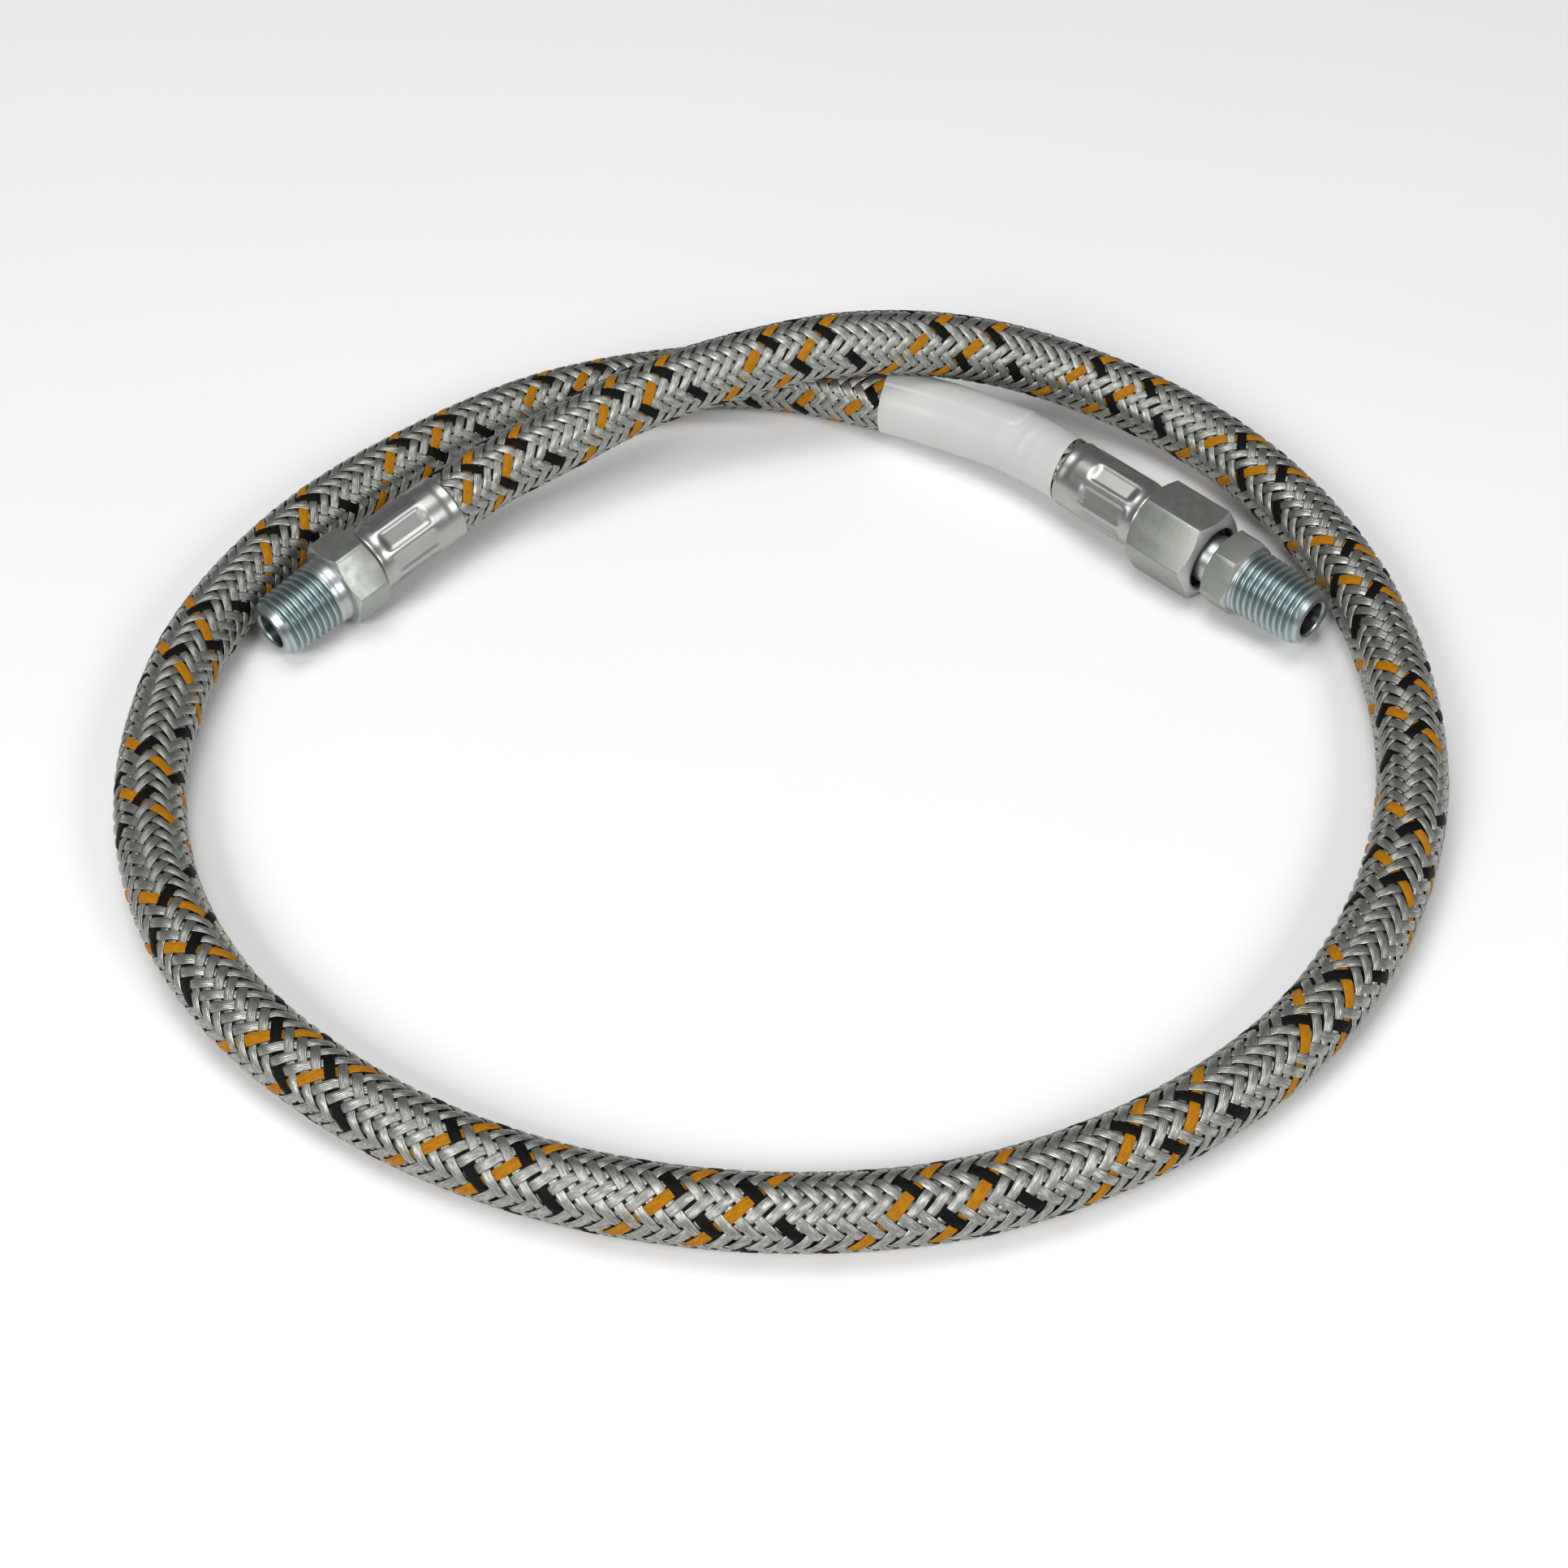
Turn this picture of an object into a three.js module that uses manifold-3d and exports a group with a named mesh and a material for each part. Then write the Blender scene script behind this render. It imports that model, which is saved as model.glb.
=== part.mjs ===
// A flexible fuel hose with a braided sleeve, lying in one open loop.
// One end is a fixed male pipe end, the other a male pipe end that swivels in a long hex body.
// Millimetres, +Z up, standing on Z = 0, origin under the middle of the loop.
import * as THREE from 'three';
import { mergeVertices } from 'three/addons/utils/BufferGeometryUtils.js';
import Module from 'manifold-3d';

const wasm = await Module();
wasm.setup();

// Clearances
const SEAT_GAP = 0.3;
const SWIVEL_GAP = 0.3;

// Hose: a rubber tube inside a braided sleeve
const HOSE_RADIUS = 6.5;
const BRAID_WALL = 1.1;
const TUBE_BORE_RADIUS = 3.9;
const CRIMPED_BRAID_WALL = 0.4;
const TUBE_RADIUS = HOSE_RADIUS - BRAID_WALL - SEAT_GAP;
const BRAID_INNER_RADIUS = HOSE_RADIUS - BRAID_WALL;
const CRIMPED_RADIUS = BRAID_INNER_RADIUS + CRIMPED_BRAID_WALL;
const HOSE_STEPS = 66;
const BRAID_SIDES = 12;
const TUBE_SIDES = 8;

// Ferrule: a crimped steel sleeve with flat panels pressed into it
const FERRULE_LENGTH = 20.2;
const FERRULE_RADIUS = 6.9;
const FERRULE_LIP_RADIUS = 6.85;
const FERRULE_WAIST_RADIUS = 6.6;
const FERRULE_LIP_LENGTH = 1.1;
const FERRULE_END_WALL = 1.2;
const FERRULE_NOSE_RADIUS = 6.2;
const FERRULE_WAIST_START = 1.76;
const FERRULE_BELLY_START = 4.4;
const FERRULE_LIP_ROUND = 0.275;
const FERRULE_NOSE_ROUND = 0.24;
const PANEL_COUNT = 8;
const PANEL_LENGTH = 11.0;
const PANEL_START = 6.6;
const PANEL_WIDTH = 3.8;
const PANEL_DEPTH = 0.4;

// Stem: the barbed tail inside the tube and the neck in the ferrule's end wall
const TAIL_RADIUS = TUBE_BORE_RADIUS - SEAT_GAP;
const TAIL_BORE_RADIUS = 2.5;
const TAIL_START = 1.4;
const BARB_COUNT = 4;
const BARB_PITCH = 3.4;
const BARB_DEPTH = 0.4;
const BARB_BACK = 0.68;
const STEM_NECK_RADIUS = 4.3;

// Male pipe thread, 18 threads to the inch, with a taper of 1 in 16 on its diameter
const THREAD_PITCH = 25.4 / 18;
const THREAD_RADIUS = 6.65;
const THREAD_DEPTH = 0.95;
const THREAD_TAPER = 1 / 32;
const THREAD_CHAMFER = 1.9;
const THREAD_CREST_FLAT = 0.16;
const THREAD_TIP_CUT = 0.285;
const THREAD_FACE_RADIUS = 5.0;
const END_BORE_RADIUS = 3.35;
const BORE_CHAMFER = 0.25;
const CUT_OVERRUN = 1.0;

// Fixed end
const LEFT_HEX_FLATS = 15.9;
const LEFT_HEX_LENGTH = 7.8;
const LEFT_COLLAR_LENGTH = 2.3;
const LEFT_COLLAR_RADIUS = 6.45;
const LEFT_THREAD_LENGTH = 13.0;
const LEFT_HEX_ROLL = 41;
const LEFT_PANEL_ROLL = 14;

// Swivel end: a long hex body, and the nipple that turns in it
const BODY_FLATS = 16.8;
const BODY_LENGTH = 15.0;
const BODY_ROLL = 24;
const BODY_NOSE_RADIUS = 7.1;
const COUNTERBORE_RADIUS = 6.6;
const COUNTERBORE_DEPTH = 1.8;
const WEB_THICKNESS = 1.4;
const CHAMBER_RADIUS = 6.4;
const CHAMBER_LENGTH = 2.8;
const NIPPLE_NECK_RADIUS = 5.1;
const NIPPLE_NECK_SHOWING = 2.6;
const NIPPLE_HEX_FLATS = 14.2;
const NIPPLE_HEX_LENGTH = 6.0;
const NIPPLE_THREAD_LENGTH = 15.5;
const NIPPLE_ROLL = 35;
const RIGHT_PANEL_ROLL = 20;

// Label: a film wrapped round the hose beside the swivel end
const LABEL_FILM = 0.35;
const LABEL_LENGTH = 42.0;
const LABEL_FROM_FERRULE = 2.6;
const LABEL_SIDES = 16;
const LABEL_STEPS = 8;

// Segments round a turned piece, and how a hexagon's corners are cut
const TURNED_SEGMENTS = 24;
const FERRULE_SEGMENTS = 32;
const HEX_SIDES = 6;
const HEX_CHAMFER_ANGLE = THREE.MathUtils.degToRad(30);

// Where the hose leaves each ferrule, with its heading on the floor and its slope, in degrees
const LEFT_EXIT = new THREE.Vector3(-66.5, 58.2, 11.8);
const LEFT_HEADING = 223.6;
const LEFT_SLOPE = -6.5;
const RIGHT_EXIT = new THREE.Vector3(57.8, 71.0, 9.0);
const RIGHT_HEADING = -44.2;
const RIGHT_SLOPE = 0;
const STRAIGHT_LEAD = 10;

// The hose between the two straight leads: over its own far end, round the loop, and under itself
const ROUTE = [
  [-45.5, 73.0, 15.4],
  [-31.0, 82.0, 17.9],
  [-13.0, 89.2, 20.2],
  [13.0, 95.4, 21.9],
  [38.0, 98.8, 18.0],
  [62.0, 96.6, 11.4],
  [84.6, 84.4, 7.5],
  [100.0, 65.8, 6.6],
  [110.7, 41.5, 6.5],
  [115.2, 16.0, 6.5],
  [114.2, -11.2, 6.5],
  [106.6, -36.7, 6.5],
  [94.7, -58.0, 6.5],
  [80.0, -74.2, 6.5],
  [57.5, -89.6, 6.5],
  [30.0, -100.2, 6.5],
  [0.0, -103.1, 6.5],
  [-31.0, -99.0, 6.5],
  [-58.5, -88.6, 6.5],
  [-81.1, -73.5, 6.5],
  [-96.8, -57.5, 6.5],
  [-108.9, -36.7, 6.5],
  [-115.1, -11.2, 6.5],
  [-113.8, 15.6, 6.5],
  [-108.8, 33.2, 6.5],
  [-94.2, 58.5, 6.5],
  [-74.6, 77.8, 6.5],
  [-51.0, 94.0, 6.5],
  [-23.0, 102.6, 6.5],
  [-3.0, 103.0, 6.5],
  [16.5, 97.0, 7.2],
  [36.5, 87.2, 8.3],
];

// Finishes
const ZINC = { color: 0xb9bfc0, roughness: 0.32, metalness: 1.0 };
const FERRULE_STEEL = { color: 0xc4c6c2, roughness: 0.25, metalness: 1.0 };
const BRAID_WIRE = { color: 0x9d9e9a, roughness: 0.4, metalness: 0.85 };
const RUBBER = { color: 0x151515, roughness: 0.8, metalness: 0.0 };
const FILM = { color: 0xd8dad8, roughness: 0.45, metalness: 0.0 };

// Unit vector of a heading on the floor and a slope, both in degrees
function direction(heading, slope) {
  const h = THREE.MathUtils.degToRad(heading);
  const s = THREE.MathUtils.degToRad(slope);
  return new THREE.Vector3(Math.cos(h) * Math.cos(s), Math.sin(h) * Math.cos(s), Math.sin(s));
}

const LEFT_OUTWARD = direction(LEFT_HEADING, LEFT_SLOPE);
const RIGHT_OUTWARD = direction(RIGHT_HEADING, RIGHT_SLOPE);

// A closed geometry with only its positions, its shared vertices merged
function positionsOnly(geometry) {
  const bare = geometry.clone();
  bare.deleteAttribute('normal');
  bare.deleteAttribute('uv');
  return mergeVertices(bare);
}

function toSolid(geometry) {
  const bare = positionsOnly(geometry);
  return new wasm.Manifold(new wasm.Mesh({
    numProp: 3,
    vertProperties: new Float32Array(bare.attributes.position.array),
    triVerts: new Uint32Array(bare.index.array),
  }));
}

function toGeometry(solid) {
  const mesh = solid.getMesh();
  const geometry = new THREE.BufferGeometry();
  geometry.setAttribute('position', new THREE.BufferAttribute(new Float32Array(mesh.vertProperties), 3));
  geometry.setIndex(new THREE.BufferAttribute(new Uint32Array(mesh.triVerts), 1));
  geometry.computeVertexNormals();
  return geometry;
}

// A turned solid about +Y. Each profile point is [radius, height], the outer side upwards first.
function turned(profile, segments = TURNED_SEGMENTS) {
  const points = [...profile, profile[0]].map(([radius, height]) => new THREE.Vector2(radius, height));
  return toSolid(new THREE.LatheGeometry(points, segments));
}

// A plain sleeve about +Y from one height to another
function sleeve(outer, inner, from, to, segments = TURNED_SEGMENTS) {
  return turned([[outer, from], [outer, to], [inner, to], [inner, from]], segments);
}

function cornerRadius(flats) {
  return flats / 2 / Math.cos(Math.PI / HEX_SIDES);
}

// A hexagonal bar about +Y, rolled by an angle, its corners chamfered down to a radius at each end
function hexBar(flats, from, to, roll, startRadius, endRadius) {
  const corner = cornerRadius(flats);
  const bar = new THREE.CylinderGeometry(corner, corner, to - from, HEX_SIDES);
  bar.rotateY(THREE.MathUtils.degToRad(roll));
  bar.translate(0, (from + to) / 2, 0);
  const startDrop = (corner - startRadius) * Math.tan(HEX_CHAMFER_ANGLE);
  const endDrop = (corner - endRadius) * Math.tan(HEX_CHAMFER_ANGLE);
  const envelope = turned([
    [startRadius, from],
    [corner, from + startDrop],
    [corner, to - endDrop],
    [endRadius, to],
    [0, to],
    [0, from],
  ], FERRULE_SEGMENTS);
  return toSolid(bar).intersect(envelope);
}

// Outer profile of a tapered pipe thread from its large end to its chamfered tip
function threadProfile(from, length) {
  const profile = [];
  const threaded = length - THREAD_CHAMFER;
  const turns = Math.floor(threaded / THREAD_PITCH);
  const lead = threaded - turns * THREAD_PITCH;
  const crestAt = (height) => THREAD_RADIUS - (height - from) * THREAD_TAPER;
  profile.push([crestAt(from) - THREAD_DEPTH, from + lead / 2]);
  for (let turn = 0; turn < turns; turn += 1) {
    const root = from + lead / 2 + turn * THREAD_PITCH;
    profile.push([crestAt(root), root + (1 - THREAD_CREST_FLAT) / 2 * THREAD_PITCH]);
    profile.push([crestAt(root), root + (1 + THREAD_CREST_FLAT) / 2 * THREAD_PITCH]);
    profile.push([crestAt(root) - THREAD_DEPTH, root + THREAD_PITCH]);
  }
  profile.push([crestAt(from + length) - THREAD_TIP_CUT, from + length - THREAD_CHAMFER]);
  profile.push([THREAD_FACE_RADIUS, from + length]);
  return profile;
}

// Bore of a pipe end, from where it starts to its chamfered mouth at the tip
function mouthProfile(start, tip) {
  return [
    [END_BORE_RADIUS, start],
    [END_BORE_RADIUS, tip - BORE_CHAMFER],
    [END_BORE_RADIUS + 2 * BORE_CHAMFER, tip + BORE_CHAMFER],
    [0, tip + BORE_CHAMFER],
  ];
}

// Outer profile of the barbed tail and of the neck held by the ferrule, up to the hex
function tailProfile(hexStart) {
  const profile = [[TAIL_RADIUS - BARB_DEPTH, TAIL_START]];
  for (let barb = 0; barb < BARB_COUNT; barb += 1) {
    const root = TAIL_START + (barb + 1) * BARB_PITCH;
    profile.push([TAIL_RADIUS, root - BARB_BACK]);
    profile.push([TAIL_RADIUS - BARB_DEPTH, root]);
  }
  const shoulder = FERRULE_LENGTH - FERRULE_END_WALL;
  profile.push([TAIL_RADIUS - BARB_DEPTH, shoulder]);
  profile.push([STEM_NECK_RADIUS, shoulder]);
  profile.push([STEM_NECK_RADIUS, hexStart]);
  return profile;
}

const HEX_START = FERRULE_LENGTH + SEAT_GAP;

// Fixed end in one piece: barbed tail, hex, collar and pipe thread
function makeLeftStem() {
  const hexEnd = HEX_START + LEFT_HEX_LENGTH;
  const collarEnd = hexEnd + LEFT_COLLAR_LENGTH;
  const tip = collarEnd + LEFT_THREAD_LENGTH;
  const core = turned([
    ...tailProfile(HEX_START),
    [LEFT_COLLAR_RADIUS, HEX_START],
    [LEFT_COLLAR_RADIUS, collarEnd],
    ...threadProfile(collarEnd, LEFT_THREAD_LENGTH),
    [0, tip],
    [0, TAIL_START],
  ]);
  const bore = turned([
    [TAIL_BORE_RADIUS, TAIL_START - CUT_OVERRUN],
    [TAIL_BORE_RADIUS, HEX_START],
    ...mouthProfile(HEX_START, tip),
    [0, TAIL_START - CUT_OVERRUN],
  ]);
  const faceRadius = LEFT_HEX_FLATS / 2;
  const hex = hexBar(LEFT_HEX_FLATS, HEX_START, hexEnd, LEFT_HEX_ROLL, faceRadius, faceRadius);
  return core.add(hex).subtract(bore);
}

// Swivel end's body in one piece: barbed tail and long hex, bored out for the nipple's flange
function makeSwivelBody() {
  const bodyEnd = HEX_START + BODY_LENGTH;
  const web = bodyEnd - COUNTERBORE_DEPTH;
  const chamberEnd = web - WEB_THICKNESS;
  const chamberStart = chamberEnd - CHAMBER_LENGTH;
  const webRadius = NIPPLE_NECK_RADIUS + SWIVEL_GAP;
  const bore = turned([
    [TAIL_BORE_RADIUS, TAIL_START - CUT_OVERRUN],
    [TAIL_BORE_RADIUS, chamberStart],
    [CHAMBER_RADIUS, chamberStart],
    [CHAMBER_RADIUS, chamberEnd],
    [webRadius, chamberEnd],
    [webRadius, web],
    [COUNTERBORE_RADIUS, web],
    [COUNTERBORE_RADIUS, bodyEnd + CUT_OVERRUN],
    [0, bodyEnd + CUT_OVERRUN],
    [0, TAIL_START - CUT_OVERRUN],
  ], FERRULE_SEGMENTS);
  const tailEnd = HEX_START + CUT_OVERRUN;
  const tail = turned([...tailProfile(tailEnd), [0, tailEnd], [0, TAIL_START]]);
  const faceRadius = BODY_FLATS / 2;
  const hex = hexBar(BODY_FLATS, HEX_START, bodyEnd, BODY_ROLL, faceRadius, BODY_NOSE_RADIUS);
  return hex.add(tail).subtract(bore);
}

// Nipple that turns in the body: trapped flange, round neck, small hex and pipe thread
function makeNipple() {
  const bodyEnd = HEX_START + BODY_LENGTH;
  const chamberEnd = bodyEnd - COUNTERBORE_DEPTH - WEB_THICKNESS;
  const flangeEnd = chamberEnd - SWIVEL_GAP;
  const flangeStart = chamberEnd - CHAMBER_LENGTH + SWIVEL_GAP;
  const flangeRadius = CHAMBER_RADIUS - SWIVEL_GAP;
  const hexStart = bodyEnd + NIPPLE_NECK_SHOWING;
  const hexEnd = hexStart + NIPPLE_HEX_LENGTH;
  const tip = hexEnd + NIPPLE_THREAD_LENGTH;
  const core = turned([
    [flangeRadius, flangeStart],
    [flangeRadius, flangeEnd],
    [NIPPLE_NECK_RADIUS, flangeEnd],
    [NIPPLE_NECK_RADIUS, hexEnd],
    ...threadProfile(hexEnd, NIPPLE_THREAD_LENGTH),
    [0, tip],
    [0, flangeStart],
  ]);
  const boreStart = flangeStart - CUT_OVERRUN;
  const bore = turned([...mouthProfile(boreStart, tip), [0, boreStart]]);
  const faceRadius = NIPPLE_HEX_FLATS / 2;
  const hex = hexBar(NIPPLE_HEX_FLATS, hexStart, hexEnd, NIPPLE_ROLL, faceRadius, faceRadius);
  return core.add(hex).subtract(bore);
}

// Crimped ferrule: rolled lip at the hose, belly, pressed panels, and an end wall on the stem's neck
function makeFerrule(panelRoll) {
  const inner = CRIMPED_RADIUS + SEAT_GAP;
  const hole = STEM_NECK_RADIUS + SEAT_GAP;
  const wall = FERRULE_LENGTH - FERRULE_END_WALL;
  let ferrule = turned([
    [FERRULE_LIP_RADIUS - FERRULE_LIP_ROUND, 0],
    [FERRULE_LIP_RADIUS, FERRULE_LIP_ROUND],
    [FERRULE_LIP_RADIUS, FERRULE_LIP_LENGTH],
    [FERRULE_WAIST_RADIUS, FERRULE_WAIST_START],
    [FERRULE_RADIUS, FERRULE_BELLY_START],
    [FERRULE_RADIUS, wall],
    [(FERRULE_RADIUS + FERRULE_NOSE_RADIUS) / 2, FERRULE_LENGTH - FERRULE_NOSE_ROUND],
    [FERRULE_NOSE_RADIUS, FERRULE_LENGTH],
    [hole, FERRULE_LENGTH],
    [hole, wall],
    [inner, wall],
    [inner, 0],
  ], FERRULE_SEGMENTS);
  for (let panel = 0; panel < PANEL_COUNT; panel += 1) {
    const block = new THREE.BoxGeometry(PANEL_WIDTH, PANEL_LENGTH, FERRULE_RADIUS);
    block.translate(0, PANEL_START + PANEL_LENGTH / 2, FERRULE_RADIUS * 1.5 - PANEL_DEPTH);
    block.rotateY(THREE.MathUtils.degToRad(panelRoll) + panel * 2 * Math.PI / PANEL_COUNT);
    ferrule = ferrule.subtract(toSolid(block));
  }
  return ferrule;
}

function pointFrom(exit, outward, distance) {
  return exit.clone().addScaledVector(outward, distance);
}

// Centre line of the hose between the two ferrule lips
function hosePath() {
  const points = [
    pointFrom(LEFT_EXIT, LEFT_OUTWARD, -SEAT_GAP),
    pointFrom(LEFT_EXIT, LEFT_OUTWARD, -STRAIGHT_LEAD),
    ...ROUTE.map(([x, y, z]) => new THREE.Vector3(x, y, z)),
    pointFrom(RIGHT_EXIT, RIGHT_OUTWARD, -STRAIGHT_LEAD),
    pointFrom(RIGHT_EXIT, RIGHT_OUTWARD, -SEAT_GAP),
  ];
  return new THREE.CatmullRomCurve3(points, false, 'centripetal');
}

// A regular polygon with its corners on the radius
function polygonPoints(radius, sides) {
  return Array.from({ length: sides }, (_, index) => {
    const angle = index * 2 * Math.PI / sides;
    return new THREE.Vector2(radius * Math.cos(angle), radius * Math.sin(angle));
  });
}

// A regular polygon ring: its corners on the outer radius, its inner flats on the bore radius
function ringShape(outer, inner, sides) {
  const shape = new THREE.Shape(polygonPoints(outer, sides));
  const holeRadius = inner / Math.cos(Math.PI / sides);
  shape.holes.push(new THREE.Path(polygonPoints(holeRadius, sides).reverse()));
  return shape;
}

function alongPath(path, shape, steps) {
  return toSolid(new THREE.ExtrudeGeometry(shape, { steps, extrudePath: path }));
}

// Matrix that stands a piece modelled along +Y on a hose end, its own +Z as upright as it can be
function endMatrix(exit, outward) {
  const side = new THREE.Vector3().crossVectors(outward, new THREE.Vector3(0, 0, 1)).normalize();
  const up = new THREE.Vector3().crossVectors(side, outward);
  return new THREE.Matrix4().makeBasis(side, outward, up).setPosition(exit);
}

// A plain sleeve in a ferrule, from just outside its lip to its end wall, placed on the hose end
function crimpedEnd(outer, inner, exit, outward) {
  const end = FERRULE_LENGTH - FERRULE_END_WALL - SEAT_GAP;
  const geometry = toGeometry(sleeve(outer, inner, -FERRULE_LIP_LENGTH, end));
  geometry.applyMatrix4(endMatrix(exit, outward));
  return toSolid(geometry);
}

// One layer of the hose: the free length, with a round sleeve in each ferrule
function hoseLayer(path, outer, inner, crimpedOuter, sides) {
  return alongPath(path, ringShape(outer, inner, sides), HOSE_STEPS)
    .add(crimpedEnd(crimpedOuter, inner, LEFT_EXIT, LEFT_OUTWARD))
    .add(crimpedEnd(crimpedOuter, inner, RIGHT_EXIT, RIGHT_OUTWARD));
}

// The label's own stretch of the hose path
class Stretch extends THREE.Curve {
  constructor(path, from, to) {
    super();
    this.path = path;
    this.from = from;
    this.to = to;
  }

  getPoint(t, target) {
    return this.path.getPointAt(this.from + (this.to - this.from) * t, target);
  }
}

function makeLabel(path) {
  const total = path.getLength();
  const end = 1 - LABEL_FROM_FERRULE / total;
  const stretch = new Stretch(path, end - LABEL_LENGTH / total, end);
  const inner = HOSE_RADIUS + SEAT_GAP;
  const outer = (inner + LABEL_FILM) / Math.cos(Math.PI / LABEL_SIDES);
  const wrapped = alongPath(stretch, new THREE.Shape(polygonPoints(outer, LABEL_SIDES)), LABEL_STEPS);
  const hose = alongPath(path, new THREE.Shape(polygonPoints(inner, BRAID_SIDES)), HOSE_STEPS);
  return wrapped.subtract(hose);
}

function namedMesh(name, solid, finish) {
  const mesh = new THREE.Mesh(toGeometry(solid), new THREE.MeshStandardMaterial(finish));
  mesh.name = name;
  return mesh;
}

function makeEnd(exit, outward, meshes) {
  const group = new THREE.Group();
  group.applyMatrix4(endMatrix(exit, outward));
  group.add(...meshes);
  return group;
}

function makeHose() {
  const path = hosePath();
  const hose = new THREE.Group();
  hose.add(namedMesh(
    'rubber_tube',
    hoseLayer(path, TUBE_RADIUS, TUBE_BORE_RADIUS, TUBE_RADIUS, TUBE_SIDES),
    RUBBER,
  ));
  hose.add(namedMesh(
    'wire_braid',
    hoseLayer(path, HOSE_RADIUS, BRAID_INNER_RADIUS, CRIMPED_RADIUS, BRAID_SIDES),
    BRAID_WIRE,
  ));
  hose.add(namedMesh('label_wrap', makeLabel(path), FILM));
  hose.add(makeEnd(LEFT_EXIT, LEFT_OUTWARD, [
    namedMesh('fixed_ferrule', makeFerrule(LEFT_PANEL_ROLL), FERRULE_STEEL),
    namedMesh('fixed_stem', makeLeftStem(), ZINC),
  ]));
  hose.add(makeEnd(RIGHT_EXIT, RIGHT_OUTWARD, [
    namedMesh('swivel_ferrule', makeFerrule(RIGHT_PANEL_ROLL), FERRULE_STEEL),
    namedMesh('swivel_body', makeSwivelBody(), ZINC),
    namedMesh('swivel_nipple', makeNipple(), ZINC),
  ]));
  return hose;
}

export default makeHose();
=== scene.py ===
"""Looks of a braided fuel hose that lies in one loop.

One end is a fixed male pipe end, the other a male pipe end that turns in a long hex body.
Every piece is worked out in metres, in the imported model's own frame, +Z up.
"""

import logging
import math
from dataclasses import dataclass, field
from enum import Enum

import bmesh
import bpy
import numpy as np
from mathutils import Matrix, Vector


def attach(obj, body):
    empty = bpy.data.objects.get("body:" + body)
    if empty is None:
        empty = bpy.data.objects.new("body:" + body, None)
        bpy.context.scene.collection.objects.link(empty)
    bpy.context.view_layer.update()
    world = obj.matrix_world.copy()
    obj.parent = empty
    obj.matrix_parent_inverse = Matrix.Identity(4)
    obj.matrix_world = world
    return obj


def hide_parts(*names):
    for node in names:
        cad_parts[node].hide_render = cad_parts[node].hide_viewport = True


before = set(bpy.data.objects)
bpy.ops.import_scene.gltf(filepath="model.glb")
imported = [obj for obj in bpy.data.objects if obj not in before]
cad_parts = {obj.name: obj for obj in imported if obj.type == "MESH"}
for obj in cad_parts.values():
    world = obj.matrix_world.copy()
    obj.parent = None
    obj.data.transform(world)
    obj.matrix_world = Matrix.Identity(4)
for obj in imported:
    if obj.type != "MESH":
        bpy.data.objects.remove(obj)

Array = np.ndarray
Socket = bpy.types.NodeSocket
Material = bpy.types.Material
Piece = bpy.types.Object
Triple = tuple[float, float, float]
Rows = tuple[tuple[float, ...], ...]
LOG = logging.getLogger("fuel_hose")
MM = 0.001
HEX_SIDES = 6


# Surfaces


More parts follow.
